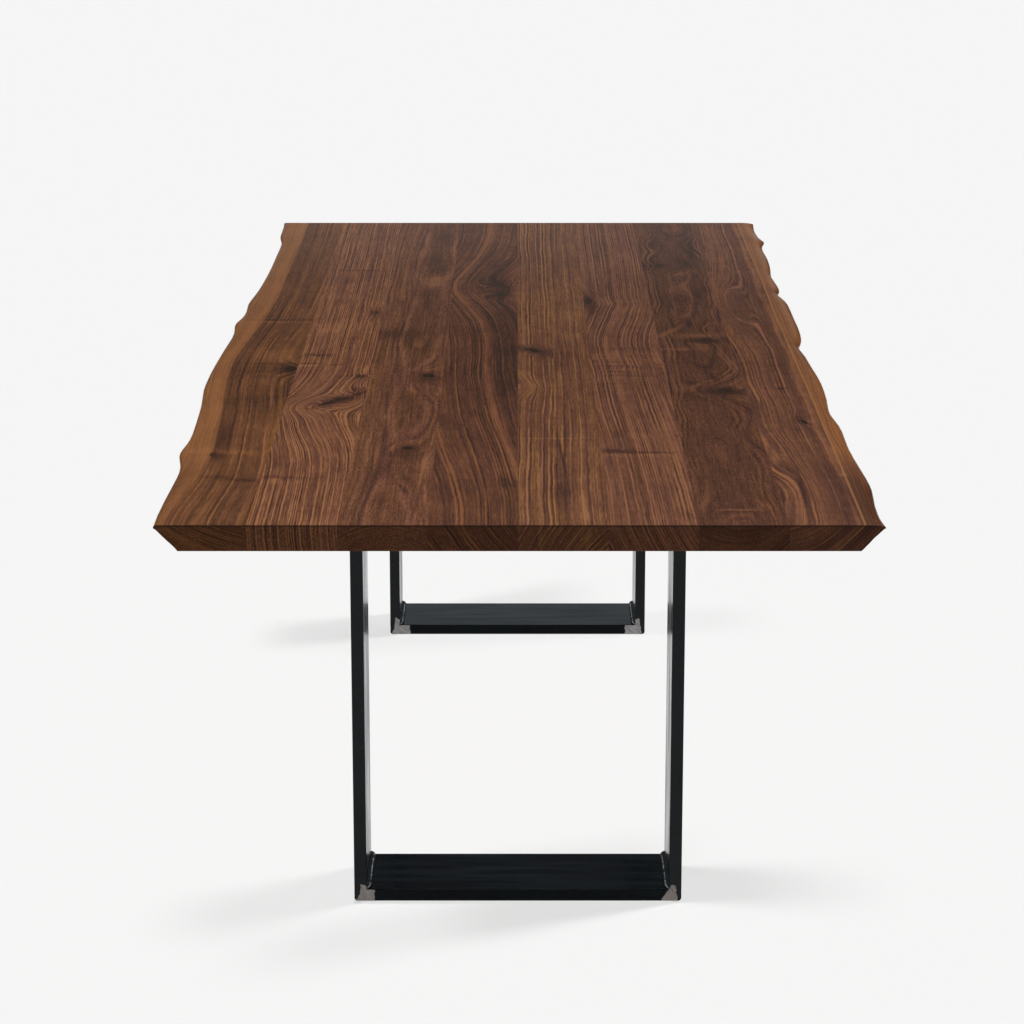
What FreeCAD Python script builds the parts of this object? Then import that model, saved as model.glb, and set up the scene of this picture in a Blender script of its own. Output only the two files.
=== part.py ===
"""Live edge dining table: eight glued walnut staves on two welded frames of flat steel bar.

Millimetres. X runs across the table, Y along it and Z up, with the origin on the floor under the middle of the top.
"""

import FreeCAD
import Part
import Sketcher
import math
import os

# The driving sizes: name, millimetres, what it measures
SIZES = [
    ("table_height", 750, "floor to table surface"),
    ("top_length", 2600, "length of the staves"),
    ("top_thickness", 38, "thickness of the staves"),
    ("stave_width", 126, "width of a plain stave"),
    ("edge_stave_width", 146, "outermost seam to the widest point of the natural edge"),
    ("edge_sway", 14, "how far one whole share moves the natural edge"),
    ("edge_undercut", 33, "how far the underside stands in from the natural edge"),
    ("edge_nose_drop", 4, "height of the softened arris of the natural edge"),
    ("edge_nose_inset", 2, "width of the softened arris of the natural edge"),
    ("end_ease", 1, "chamfer that eases the end arrises"),
    ("frame_spacing", 1476, "between the middles of the two frames"),
    ("frame_width", 522, "outside width of a frame"),
    ("bar_depth", 160, "width of the flat bar, along the table"),
    ("bar_thickness", 20, "thickness of the flat bar"),
    ("bar_edge_radius", 1.5, "rounding of the rolled edges of the bar"),
    ("corner_radius", 5, "rounding of the ground lower corners of a frame"),
    ("plate_thickness", 10, "thickness of the plate that carries the top"),
    ("weld_leg", 8, "leg of a weld bead in an inner corner"),
    ("weld_end_gap", 3, "from the end of a weld bead to the edge of the bar"),
    ("glide_diameter", 30, "glide under the floor bar"),
    ("glide_thickness", 2, "height of a glide"),
    ("glide_inset", 60, "middle of a glide from the end of the floor bar"),
    ("glide_margin", 35, "middle of a glide from the edge of the floor bar"),
    ("bolt_inset", 52, "outer bolts from the inner face of an upright"),
    ("bolt_row_spacing", 100, "between the two rows of bolts on a plate"),
    ("bolt_diameter", 8, "shank of a bolt"),
    ("bolt_reach", 16, "length of a bolt inside its insert"),
    ("head_diameter", 14, "round head of a bolt"),
    ("head_height", 4.4, "height of a bolt's head"),
    ("head_rounding", 2.5, "rounding of a bolt's head"),
    ("socket_width", 5, "across the flats of the hexagon socket in a head"),
    ("socket_depth", 2.6, "depth of the hexagon socket"),
    ("washer_diameter", 24, "washer under a bolt's head"),
    ("washer_thickness", 2, "thickness of a washer"),
    ("washer_play", 0.4, "bore of a washer over the bolt's diameter"),
    ("slot_play", 1, "width of a plate's slot over the bolt's diameter"),
    ("slot_travel", 10, "room along a slot for the wood to swell and shrink"),
    ("insert_diameter", 14, "threaded insert in the underside of the top"),
    ("insert_length", 20, "length of a threaded insert"),
    ("insert_play", 0.2, "bore in the wood over the insert's diameter"),
    ("insert_spare", 2, "bore in the wood past the end of the insert"),
    ("thread_play", 0.2, "bore of an insert over the bolt's diameter"),
]

PLAIN_STAVES = 6
BOLT_COLUMNS = 4
BOLT_ROWS = 2
GLIDE_COLUMNS = 2
GLIDE_ROWS = 2
SOCKET_SIDES = 6

# The natural edges, from the near end to the far one: share of the length, share of the sway
LEFT_EDGE_SHARES = [
    (0.0, -0.2), (0.038, -0.15), (0.077, -0.3), (0.108, -0.43), (0.135, -0.3), (0.154, 0.15), (0.165, 0.35),
    (0.192, 0.07), (0.231, 0.0), (0.269, 0.2), (0.308, 0.5), (0.346, 0.95), (0.365, 1.0), (0.404, 0.97),
    (0.442, 0.78), (0.481, 0.55), (0.538, 0.43), (0.562, 0.64), (0.577, 0.3), (0.615, 0.0), (0.635, 0.14),
    (0.654, 0.0), (0.692, -0.43), (0.731, -0.64), (0.769, -0.8), (0.827, -0.84), (0.885, -0.86), (0.908, -0.7),
    (0.923, -0.36), (0.962, -0.07), (1.0, 0.15),
]
RIGHT_EDGE_SHARES = [
    (0.0, 0.07), (0.031, -0.07), (0.058, 0.1), (0.088, 0.43), (0.115, 0.36), (0.154, 0.07), (0.192, -0.07),
    (0.25, -0.07), (0.269, -0.36), (0.285, -0.43), (0.308, -0.2), (0.346, 0.07), (0.385, 0.07), (0.423, -0.2),
    (0.462, -0.5), (0.481, -0.7), (0.5, -0.2), (0.519, 0.15), (0.538, 0.3), (0.615, 0.36), (0.654, 0.2),
    (0.665, -0.07), (0.679, -0.36), (0.692, -0.07), (0.715, 0.07), (0.738, -0.1), (0.758, -0.2), (0.777, 0.0),
    (0.808, 0.3), (0.846, 0.36), (0.885, 0.3), (0.9, 0.6), (0.915, 1.0), (0.931, 0.6), (0.942, 0.43),
    (0.962, 0.3), (1.0, 0.5),
]

# An edge leans along an axis when its chord covers more than this share of its length there
LEAN_SHARE = 0.8

# Lengths that follow from the driving sizes, as expressions on the sheet
TOP_UNDERSIDE = "(Sizes.table_height - Sizes.top_thickness)"
PLATE_UNDERSIDE = f"({TOP_UNDERSIDE} - Sizes.plate_thickness)"
UPRIGHT_HEIGHT = f"({PLATE_UNDERSIDE} - Sizes.glide_thickness)"
WINDOW_WIDTH = "(Sizes.frame_width - 2 * Sizes.bar_thickness)"
WINDOW_HEIGHT = f"({UPRIGHT_HEIGHT} - Sizes.bar_thickness)"
WINDOW_MIDDLE = f"({PLATE_UNDERSIDE} - {WINDOW_HEIGHT} / 2)"
BOLT_SPAN = f"({WINDOW_WIDTH} - 2 * Sizes.bolt_inset)"
BOLT_LENGTH = "(Sizes.washer_thickness + Sizes.plate_thickness + Sizes.bolt_reach)"
BORE_DIAMETER = "(Sizes.insert_diameter + Sizes.insert_play)"
OUTERMOST_ROW = "((Sizes.frame_spacing + Sizes.bolt_row_spacing) / 2)"
GLIDE_SPAN = "(Sizes.frame_width - 2 * Sizes.glide_inset)"
GLIDE_ROW_SPACING = "(Sizes.bar_depth - 2 * Sizes.glide_margin)"

# How a sketch numbers its own origin and axes, and the points of a line or an arc
ORIGIN = (-1, 1)
Y_AXIS, X_AXIS = range(-2, 0)
START, END, CENTRE = range(1, 4)

ACROSS = FreeCAD.Vector(1, 0, 0)
UP = FreeCAD.Vector(0, 0, 1)

doc = FreeCAD.newDocument("LiveEdgeTable")
sheet = doc.addObject("Spreadsheet::Sheet", "Sizes")
for row, (alias, value, meaning) in enumerate(SIZES, start=1):
    sheet.set(f"A{row}", meaning)
    sheet.set(f"B{row}", str(value))
    sheet.setAlias(f"B{row}", alias)
doc.recompute()

sub_parts = []


def value_of(expression):
    """The present value of an expression on the sheet."""
    return float(sheet.evalExpression(expression))


def bind(thing, **expressions):
    """Ties properties to expressions on the sheet. A double underscore in a name stands for a dot."""
    for path, expression in expressions.items():
        thing.setExpression(path.replace("__", "."), expression)


def place(thing, across="0", along="0", up="0"):
    """Ties the place of a piece's own origin to the sheet."""
    bind(thing, Placement__Base__x=across, Placement__Base__y=along, Placement__Base__z=up)


def new_body(label):
    """An empty body under this label."""
    body = doc.addObject("PartDesign::Body", label)
    body.Label = label
    return body


def origin_feature(body, role):
    """One of a body's own origin planes or axes."""
    return next(feature for feature in body.Origin.OriginFeatures if feature.Role == role)


def new_sketch(body, name, plane):
    """An empty sketch on one of the body's own origin planes."""
    sketch = body.newObject("Sketcher::SketchObject", f"{body.Name}_{name}")
    sketch.AttachmentSupport = [(origin_feature(body, plane), "")]
    sketch.MapMode = "FlatFace"
    return sketch


def line(sketch, start, end):
    """A straight edge between two (x, y) points."""
    return sketch.addGeometry(Part.LineSegment(FreeCAD.Vector(*start, 0), FreeCAD.Vector(*end, 0)))


def circle(sketch, centre, radius):
    """A whole circle round an (x, y) point."""
    return sketch.addGeometry(Part.Circle(FreeCAD.Vector(*centre, 0), UP, radius))


def arc(sketch, centre, radius, first_degrees, last_degrees):
    """A round edge, anticlockwise from the first angle to the last."""
    whole = Part.Circle(FreeCAD.Vector(*centre, 0), UP, radius)
    return sketch.addGeometry(Part.ArcOfCircle(whole, math.radians(first_degrees), math.radians(last_degrees)))


def fix(sketch, kind, *where):
    """A constraint with no dimension."""
    sketch.addConstraint(Sketcher.Constraint(kind, *where))


def join_ends(sketch, *edges):
    """Joins the end of each edge to the start of the next, and the last to the first."""
    for edge, following in zip(edges, edges[1:] + edges[:1]):
        fix(sketch, "Coincident", edge, END, following, START)


def measure(sketch, kind, *where, by):
    """A dimension tied to an expression on the sheet."""
    index = sketch.addConstraint(Sketcher.Constraint(kind, *where, value_of(by)))
    sketch.setExpression(f"Constraints[{index}]", by)


def centred_circle(sketch, diameter):
    """A circle round the sketch's origin."""
    edge = circle(sketch, (0, 0), value_of(diameter) / 2)
    fix(sketch, "Coincident", edge, CENTRE, *ORIGIN)
    measure(sketch, "Diameter", edge, by=diameter)


def centred_rectangle(sketch, across, along):
    """A rectangle round the sketch's origin."""
    half_across = value_of(across) / 2
    half_along = value_of(along) / 2
    near = line(sketch, (-half_across, -half_along), (half_across, -half_along))
    right = line(sketch, (half_across, -half_along), (half_across, half_along))
    far = line(sketch, (half_across, half_along), (-half_across, half_along))
    left = line(sketch, (-half_across, half_along), (-half_across, -half_along))
    join_ends(sketch, near, right, far, left)
    for edge in (near, far):
        fix(sketch, "Horizontal", edge)
    for edge in (right, left):
        fix(sketch, "Vertical", edge)
    fix(sketch, "Symmetric", near, START, far, START, *ORIGIN)
    measure(sketch, "DistanceX", near, START, near, END, by=across)
    measure(sketch, "DistanceY", right, START, right, END, by=along)


def extrude(body, name, sketch, length, kind="Pad", symmetric=False, reverse=False):
    """A pad or a pocket of a sketch."""
    feature = body.newObject(f"PartDesign::{kind}", f"{body.Name}_{name}")
    feature.Profile = sketch
    feature.SideType = "Symmetric" if symmetric else "One side"
    feature.Reversed = reverse
    bind(feature, Length=length)
    doc.recompute()
    return feature


def edges_where(feature, test):
    """The names of a feature's edges that pass a test."""
    return [f"Edge{number}" for number, edge in enumerate(feature.Shape.Edges, start=1) if test(edge)]


def leans(edge, axis):
    """True for an edge that runs mostly along an axis."""
    chord = edge.valueAt(edge.LastParameter) - edge.valueAt(edge.FirstParameter)
    return abs(chord.dot(axis)) > LEAN_SHARE * chord.Length


def soften(body, base, edges, kind, **expressions):
    """A fillet or a chamfer on named edges of the last feature."""
    feature = body.newObject(f"PartDesign::{kind}", f"{body.Name}_{kind.lower()}")
    feature.Base = (base, edges)
    bind(feature, **expressions)
    doc.recompute()
    return feature


def grid(body, across, columns, along, rows, originals=None):
    """Repeats the whole body, or some of its features, in columns across the table and rows along it."""
    pattern = body.newObject("PartDesign::LinearPattern", f"{body.Name}_grid")
    if originals:
        pattern.Originals = originals
    else:
        pattern.TransformMode = "Whole shape"
    pattern.Direction = (origin_feature(body, "X_Axis"), [""])
    pattern.Occurrences = columns
    pattern.Direction2 = (origin_feature(body, "Y_Axis"), [""])
    pattern.Occurrences2 = rows
    bind(pattern, Length=across, Length2=along)
    body.Tip = pattern
    doc.recompute()


def mirror(body, plane):
    """Repeats the whole body on the other side of one of its own origin planes."""
    mirrored = body.newObject("PartDesign::Mirrored", f"{body.Name}_{plane}_mirror")
    mirrored.TransformMode = "Whole shape"
    mirrored.MirrorPlane = (origin_feature(body, plane), [""])
    body.Tip = mirrored
    doc.recompute()


# Bores for the inserts, drilled into the underside once the staves are glued, alike over both frames
insert_bores = new_body("insert_bores")
bore_sketch = new_sketch(insert_bores, "circle", "XY_Plane")
first_bore = (-value_of(BOLT_SPAN) / 2, -value_of(OUTERMOST_ROW))
bore_edge = circle(bore_sketch, first_bore, value_of(BORE_DIAMETER) / 2)
measure(bore_sketch, "Diameter", bore_edge, by=BORE_DIAMETER)
measure(bore_sketch, "DistanceX", bore_edge, CENTRE, *ORIGIN, by=f"{BOLT_SPAN} / 2")
measure(bore_sketch, "DistanceY", bore_edge, CENTRE, *ORIGIN, by=OUTERMOST_ROW)
extrude(insert_bores, "bore", bore_sketch, "Sizes.insert_length + Sizes.insert_spare")
grid(insert_bores, BOLT_SPAN, BOLT_COLUMNS, "Sizes.bolt_row_spacing", BOLT_ROWS)
mirror(insert_bores, "XZ_Plane")
place(insert_bores, up=TOP_UNDERSIDE)


def board_with_eased_ends(label, width):
    """A straight board on its own origin, with its four end arrises eased."""
    board = new_body(label)
    outline = new_sketch(board, "outline", "XY_Plane")
    centred_rectangle(outline, width, "Sizes.top_length")
    plank = extrude(board, "plank", outline, "Sizes.top_thickness")
    soften(board, plank, edges_where(plank, lambda edge: leans(edge, ACROSS)), "Chamfer", Size="Sizes.end_ease")
    return board


# Plain staves: straight boards, glued edge to edge
def plain_stave(number, across):
    blank = board_with_eased_ends(f"stave_{number}_blank", "Sizes.stave_width")
    place(blank, across=across, up=TOP_UNDERSIDE)
    stave = doc.addObject("Part::Cut", f"stave_{number}")
    stave.Label = f"stave_{number}"
    stave.Base = blank
    stave.Tool = insert_bores
    sub_parts.append(stave)


for index in range(PLAIN_STAVES):
    plain_stave(index + 2, f"{index - (PLAIN_STAVES - 1) / 2} * Sizes.stave_width")


# Edge staves: a straight glued side, and a natural edge that slopes in towards the underside
def edge_section(side, shares, level, inset):
    """The outline of an edge stave at one level, with its natural edge set in by inset."""
    seam = side * value_of("Sizes.stave_width") * PLAIN_STAVES / 2
    widest = value_of("Sizes.edge_stave_width")
    sway = value_of("Sizes.edge_sway")
    length = value_of("Sizes.top_length")
    rim = [
        FreeCAD.Vector(
            seam + side * (widest - sway * (1 - sway_share) - inset),
            (length_share - 1 / 2) * length,
            level,
        )
        for length_share, sway_share in shares
    ]
    natural = Part.BSplineCurve()
    natural.interpolate(rim)
    far_seam = FreeCAD.Vector(seam, length / 2, level)
    near_seam = FreeCAD.Vector(seam, -length / 2, level)
    straight = [
        Part.makeLine(rim[-1], far_seam),
        Part.makeLine(far_seam, near_seam),
        Part.makeLine(near_seam, rim[0]),
    ]
    return Part.Wire([natural.toShape(), *straight])


def edge_stave(number, side, shares):
    """A stave with a natural edge, which is widest just under the table surface."""
    thickness = value_of("Sizes.top_thickness")
    levels = [
        (0, value_of("Sizes.edge_undercut")),
        (thickness - value_of("Sizes.edge_nose_drop"), 0),
        (thickness, value_of("Sizes.edge_nose_inset")),
    ]
    sections = [edge_section(side, shares, level, inset) for level, inset in levels]
    solid, ruled = True, True
    slab = Part.makeLoft(sections, solid, ruled)
    stave = doc.addObject("Part::Feature", f"stave_{number}")
    stave.Label = f"stave_{number}"
    stave.Shape = slab.common(eased_length.Shape).removeSplitter()
    place(stave, up=TOP_UNDERSIDE)
    sub_parts.append(stave)


eased_length = board_with_eased_ends(
    "eased_length", f"{PLAIN_STAVES} * Sizes.stave_width + 2 * Sizes.edge_stave_width + 2 * Sizes.edge_sway"
)
edge_stave(1, -1, LEFT_EDGE_SHARES)
edge_stave(PLAIN_STAVES + 2, 1, RIGHT_EDGE_SHARES)


# Uprights: flat bar, mitred at the foot and square at the head
def upright(label, along, turn):
    half = value_of("Sizes.frame_width") / 2
    thickness = value_of("Sizes.bar_thickness")
    radius = value_of("Sizes.corner_radius")
    height = value_of(UPRIGHT_HEIGHT)
    tip = radius - radius * math.sqrt(1 / 2)
    body = new_body(label)
    profile = new_sketch(body, "profile", "XZ_Plane")
    outer = line(profile, (-half, height), (-half, radius))
    corner = arc(profile, (-half + radius, radius), radius, 180, 225)
    mitre = line(profile, (-half + tip, tip), (-half + thickness, thickness))
    inner = line(profile, (-half + thickness, thickness), (-half + thickness, height))
    head = line(profile, (-half + thickness, height), (-half, height))
    fix(profile, "Tangent", outer, END, corner, START)
    fix(profile, "Coincident", corner, END, mitre, START)
    fix(profile, "Coincident", mitre, END, inner, START)
    fix(profile, "Coincident", inner, END, head, START)
    fix(profile, "Coincident", head, END, outer, START)
    fix(profile, "Vertical", outer)
    fix(profile, "Vertical", inner)
    fix(profile, "Horizontal", head)
    fix(profile, "PointOnObject", corner, CENTRE, mitre)
    measure(profile, "Radius", corner, by="Sizes.corner_radius")
    measure(profile, "DistanceY", *ORIGIN, corner, CENTRE, by="Sizes.corner_radius")
    measure(profile, "DistanceX", outer, START, *ORIGIN, by="Sizes.frame_width / 2")
    measure(profile, "DistanceX", outer, START, inner, END, by="Sizes.bar_thickness")
    measure(profile, "DistanceY", *ORIGIN, mitre, END, by="Sizes.bar_thickness")
    measure(profile, "DistanceY", *ORIGIN, outer, START, by=UPRIGHT_HEIGHT)
    bar = extrude(body, "bar", profile, "Sizes.bar_depth", symmetric=True)
    soften(body, bar, edges_where(bar, lambda edge: leans(edge, UP)), "Fillet", Radius="Sizes.bar_edge_radius")
    body.Placement.Rotation = FreeCAD.Rotation(UP, turn)
    place(body, along=along, up="Sizes.glide_thickness")
    sub_parts.append(body)


# Floor bar: flat bar, mitred at both ends to the uprights
def floor_bar(label, along):
    half = value_of("Sizes.frame_width") / 2
    thickness = value_of("Sizes.bar_thickness")
    radius = value_of("Sizes.corner_radius")
    tip = radius - radius * math.sqrt(1 / 2)
    reach = half - thickness
    body = new_body(label)
    profile = new_sketch(body, "profile", "XZ_Plane")
    upper = line(profile, (-reach, thickness), (reach, thickness))
    right_mitre = line(profile, (reach, thickness), (half - tip, tip))
    right_corner = arc(profile, (half - radius, radius), radius, 270, 315)
    sole = line(profile, (-half + radius, 0), (half - radius, 0))
    left_corner = arc(profile, (-half + radius, radius), radius, 225, 270)
    left_mitre = line(profile, (-half + tip, tip), (-reach, thickness))
    fix(profile, "Coincident", upper, END, right_mitre, START)
    fix(profile, "Coincident", right_mitre, END, right_corner, END)
    fix(profile, "Tangent", right_corner, START, sole, END)
    fix(profile, "Tangent", sole, START, left_corner, END)
    fix(profile, "Coincident", left_corner, START, left_mitre, START)
    fix(profile, "Coincident", left_mitre, END, upper, START)
    fix(profile, "Horizontal", sole)
    fix(profile, "Symmetric", upper, START, upper, END, Y_AXIS)
    fix(profile, "PointOnObject", sole, START, X_AXIS)
    fix(profile, "PointOnObject", right_corner, CENTRE, right_mitre)
    fix(profile, "PointOnObject", left_corner, CENTRE, left_mitre)
    fix(profile, "Equal", left_corner, right_corner)
    measure(profile, "Radius", left_corner, by="Sizes.corner_radius")
    measure(profile, "DistanceX", left_corner, CENTRE, *ORIGIN, by="Sizes.frame_width / 2 - Sizes.corner_radius")
    measure(profile, "DistanceX", *ORIGIN, right_corner, CENTRE, by="Sizes.frame_width / 2 - Sizes.corner_radius")
    measure(profile, "DistanceX", upper, START, upper, END, by=WINDOW_WIDTH)
    measure(profile, "DistanceY", *ORIGIN, upper, START, by="Sizes.bar_thickness")
    bar = extrude(body, "bar", profile, "Sizes.bar_depth", symmetric=True)
    soften(body, bar, edges_where(bar, lambda edge: leans(edge, ACROSS)), "Fillet", Radius="Sizes.bar_edge_radius")
    place(body, along=along, up="Sizes.glide_thickness")
    sub_parts.append(body)


# Top plate: lies under the staves, with slots across the grain for its bolts
def top_plate(label, along):
    radius = value_of("Sizes.bolt_diameter + Sizes.slot_play") / 2
    right_end = (value_of("Sizes.slot_travel") - value_of(BOLT_SPAN)) / 2
    left_end = -(value_of("Sizes.slot_travel") + value_of(BOLT_SPAN)) / 2
    row_place = -value_of("Sizes.bolt_row_spacing") / 2
    body = new_body(label)
    outline = new_sketch(body, "outline", "XY_Plane")
    centred_rectangle(outline, "Sizes.frame_width", "Sizes.bar_depth")
    flat = extrude(body, "flat", outline, "Sizes.plate_thickness")
    soften(body, flat, edges_where(flat, lambda edge: leans(edge, ACROSS)), "Fillet", Radius="Sizes.bar_edge_radius")
    slot = new_sketch(body, "slot", "XY_Plane")
    right = arc(slot, (right_end, row_place), radius, -90, 90)
    upper = line(slot, (right_end, row_place + radius), (left_end, row_place + radius))
    left = arc(slot, (left_end, row_place), radius, 90, 270)
    lower = line(slot, (left_end, row_place - radius), (right_end, row_place - radius))
    for edge, following in ((right, upper), (upper, left), (left, lower), (lower, right)):
        fix(slot, "Tangent", edge, END, following, START)
    fix(slot, "Horizontal", upper)
    fix(slot, "Horizontal", lower)
    measure(slot, "Radius", right, by="(Sizes.bolt_diameter + Sizes.slot_play) / 2")
    measure(slot, "DistanceX", left, CENTRE, right, CENTRE, by="Sizes.slot_travel")
    measure(slot, "DistanceX", left, CENTRE, *ORIGIN, by=f"({BOLT_SPAN} + Sizes.slot_travel) / 2")
    measure(slot, "DistanceY", left, CENTRE, *ORIGIN, by="Sizes.bolt_row_spacing / 2")
    opening = extrude(body, "opening", slot, "Sizes.plate_thickness", kind="Pocket", reverse=True)
    grid(body, BOLT_SPAN, BOLT_COLUMNS, "Sizes.bolt_row_spacing", BOLT_ROWS, originals=[opening])
    place(body, along=along, up=PLATE_UNDERSIDE)
    sub_parts.append(body)


# Weld beads: quarter-round fillets along the four inner corners of a frame's window
def weld_beads(label, along):
    leg = value_of("Sizes.weld_leg")
    left = -value_of(WINDOW_WIDTH) / 2
    low = -value_of(WINDOW_HEIGHT) / 2
    body = new_body(label)
    profile = new_sketch(body, "profile", "XZ_Plane")
    on_bar = line(profile, (left, low), (left + leg, low))
    face = arc(profile, (left, low), leg, 0, 90)
    on_upright = line(profile, (left, low + leg), (left, low))
    join_ends(profile, on_bar, face, on_upright)
    fix(profile, "Coincident", face, CENTRE, on_bar, START)
    fix(profile, "Horizontal", on_bar)
    fix(profile, "Vertical", on_upright)
    measure(profile, "Radius", face, by="Sizes.weld_leg")
    measure(profile, "DistanceX", on_bar, START, *ORIGIN, by=f"{WINDOW_WIDTH} / 2")
    measure(profile, "DistanceY", on_bar, START, *ORIGIN, by=f"{WINDOW_HEIGHT} / 2")
    extrude(body, "bead", profile, "Sizes.bar_depth - 2 * Sizes.weld_end_gap", symmetric=True)
    mirror(body, "YZ_Plane")
    mirror(body, "XY_Plane")
    place(body, along=along, up=WINDOW_MIDDLE)
    sub_parts.append(body)


# Bolts: round heads with a hexagon socket, set from below through washer and slot into the inserts
def bolts(label, along):
    body = new_body(label)
    head_sketch = new_sketch(body, "head_circle", "XY_Plane")
    centred_circle(head_sketch, "Sizes.head_diameter")
    head = extrude(body, "head", head_sketch, "Sizes.head_height", reverse=True)
    rim = edges_where(head, lambda edge: edge.BoundBox.ZMax < 0)
    soften(body, head, rim, "Fillet", Radius="Sizes.head_rounding")
    shank_sketch = new_sketch(body, "shank_circle", "XY_Plane")
    centred_circle(shank_sketch, "Sizes.bolt_diameter")
    extrude(body, "shank", shank_sketch, BOLT_LENGTH)
    socket = new_sketch(body, "socket", "XY_Plane")
    bind(socket, AttachmentOffset__Base__z="-Sizes.head_height")
    corner_radius = "Sizes.socket_width / sqrt(3)"
    corners = [
        (
            value_of(corner_radius) * math.cos(2 * math.pi * step / SOCKET_SIDES),
            value_of(corner_radius) * math.sin(2 * math.pi * step / SOCKET_SIDES),
        )
        for step in range(SOCKET_SIDES)
    ]
    sides = [line(socket, start, end) for start, end in zip(corners, corners[1:] + corners[:1])]
    guide = circle(socket, (0, 0), value_of(corner_radius))
    socket.setConstruction(guide, True)
    fix(socket, "Coincident", guide, CENTRE, *ORIGIN)
    measure(socket, "Radius", guide, by=corner_radius)
    join_ends(socket, *sides)
    for side in sides:
        fix(socket, "PointOnObject", side, START, guide)
    for side, following in zip(sides, sides[1:]):
        fix(socket, "Equal", side, following)
    fix(socket, "Horizontal", sides[1])
    extrude(body, "recess", socket, "Sizes.socket_depth", kind="Pocket", reverse=True)
    grid(body, BOLT_SPAN, BOLT_COLUMNS, "Sizes.bolt_row_spacing", BOLT_ROWS)
    place(
        body,
        across=f"-{BOLT_SPAN} / 2",
        along=f"{along} - Sizes.bolt_row_spacing / 2",
        up=f"{PLATE_UNDERSIDE} - Sizes.washer_thickness",
    )
    sub_parts.append(body)


# Washers and threaded inserts: rings round the bolts
def rings_on_bolts(label, along, diameter, bore, height, up):
    body = new_body(label)
    ring = new_sketch(body, "ring", "XY_Plane")
    centred_circle(ring, diameter)
    centred_circle(ring, bore)
    extrude(body, "blank", ring, height)
    grid(body, BOLT_SPAN, BOLT_COLUMNS, "Sizes.bolt_row_spacing", BOLT_ROWS)
    place(body, across=f"-{BOLT_SPAN} / 2", along=f"{along} - Sizes.bolt_row_spacing / 2", up=up)
    sub_parts.append(body)


# Glides: thin pads under the floor bar, which the table stands on
def glides(label, along):
    body = new_body(label)
    disc = new_sketch(body, "disc", "XY_Plane")
    centred_circle(disc, "Sizes.glide_diameter")
    extrude(body, "pad", disc, "Sizes.glide_thickness")
    grid(body, GLIDE_SPAN, GLIDE_COLUMNS, GLIDE_ROW_SPACING, GLIDE_ROWS)
    place(body, across=f"-{GLIDE_SPAN} / 2", along=f"{along} - {GLIDE_ROW_SPACING} / 2")
    sub_parts.append(body)


for end, along in (("near", "-Sizes.frame_spacing / 2"), ("far", "Sizes.frame_spacing / 2")):
    upright(f"{end}_left_upright", along, 0)
    upright(f"{end}_right_upright", along, 180)
    floor_bar(f"{end}_floor_bar", along)
    top_plate(f"{end}_top_plate", along)
    weld_beads(f"{end}_weld_beads", along)
    bolts(f"{end}_bolts", along)
    rings_on_bolts(
        f"{end}_washers",
        along,
        "Sizes.washer_diameter",
        "Sizes.bolt_diameter + Sizes.washer_play",
        "Sizes.washer_thickness",
        f"{PLATE_UNDERSIDE} - Sizes.washer_thickness",
    )
    rings_on_bolts(
        f"{end}_threaded_inserts",
        along,
        "Sizes.insert_diameter",
        "Sizes.bolt_diameter + Sizes.thread_play",
        "Sizes.insert_length",
        TOP_UNDERSIDE,
    )
    glides(f"{end}_glides", along)

doc.recompute()
for thing in doc.Objects:
    if {"Invalid", "Error"} & set(thing.State):
        raise RuntimeError(f"{thing.Label} did not build: {thing.State}")
for piece in sub_parts:
    if piece.Shape.isNull() or not piece.Shape.isValid():
        raise RuntimeError(f"{piece.Label} has no valid shape")

os.makedirs("parts", exist_ok=True)
for piece in sub_parts:
    piece.Shape.exportStep(f"parts/{piece.Label}.step")
    box = piece.Shape.BoundBox
    print(
        f"{piece.Label}: {len(piece.Shape.Solids)} solids, {piece.Shape.Volume / 1000:.1f} cm3,"
        f" {box.XLength:.1f} x {box.YLength:.1f} x {box.ZLength:.1f} mm"
    )
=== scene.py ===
import math
from collections import namedtuple

import bpy
import numpy as np
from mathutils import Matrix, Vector, noise


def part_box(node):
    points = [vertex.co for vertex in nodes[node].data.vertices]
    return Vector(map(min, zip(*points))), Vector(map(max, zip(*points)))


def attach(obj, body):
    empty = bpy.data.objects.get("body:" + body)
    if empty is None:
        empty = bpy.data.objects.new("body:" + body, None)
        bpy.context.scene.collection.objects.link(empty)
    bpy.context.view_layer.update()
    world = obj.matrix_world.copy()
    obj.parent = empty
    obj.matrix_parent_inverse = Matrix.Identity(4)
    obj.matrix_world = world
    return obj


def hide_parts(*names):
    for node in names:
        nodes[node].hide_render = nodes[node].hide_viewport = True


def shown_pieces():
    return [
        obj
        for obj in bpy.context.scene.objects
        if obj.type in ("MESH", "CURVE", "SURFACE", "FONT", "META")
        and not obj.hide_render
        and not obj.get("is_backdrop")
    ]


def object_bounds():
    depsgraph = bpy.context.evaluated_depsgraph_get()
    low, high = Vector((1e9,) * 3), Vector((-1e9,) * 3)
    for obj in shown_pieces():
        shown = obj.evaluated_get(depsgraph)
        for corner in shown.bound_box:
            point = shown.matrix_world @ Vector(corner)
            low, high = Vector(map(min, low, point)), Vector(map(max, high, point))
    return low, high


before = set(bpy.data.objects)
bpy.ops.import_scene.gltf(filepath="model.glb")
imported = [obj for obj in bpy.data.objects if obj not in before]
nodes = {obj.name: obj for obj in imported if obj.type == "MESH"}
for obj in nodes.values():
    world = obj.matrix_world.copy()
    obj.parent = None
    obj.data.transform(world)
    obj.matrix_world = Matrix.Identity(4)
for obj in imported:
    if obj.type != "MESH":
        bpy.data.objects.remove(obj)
cad_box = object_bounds()

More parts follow.
